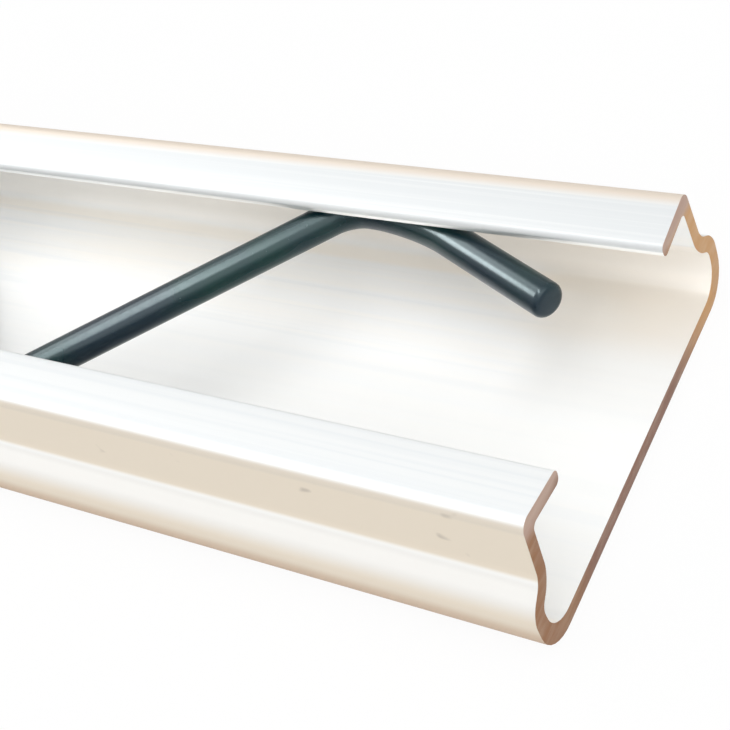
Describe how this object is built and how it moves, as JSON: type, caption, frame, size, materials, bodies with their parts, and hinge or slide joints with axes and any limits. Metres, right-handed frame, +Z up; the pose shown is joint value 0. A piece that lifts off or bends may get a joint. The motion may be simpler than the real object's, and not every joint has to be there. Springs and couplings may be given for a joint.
{
  "type": "greenhouse film clamp profile",
  "caption": "Aluminium channel with bulged sides and in-turned lips, with a coated zigzag spring wire snapped in under the lips to lock greenhouse film in place.",
  "frame": {"origin": "middle of the footprint, on the underside of the base", "axes": "+X along the length, towards the end where the wire's free end shows; +Y across the channel; +Z up, out of its open side"},
  "size_m": [1, 0.035, 0.0126],
  "materials": {
    "mill_aluminium": "pale mill finish with fine lines along the length and saw-cut ends",
    "coated_wire": "smooth semi-gloss dark green plastic coat on spring steel"
  },
  "bodies": {
    "root": {"lock_channel": "mill_aluminium", "zigzag_spring_wire": "coated_wire"}
  },
  "joints": []
}
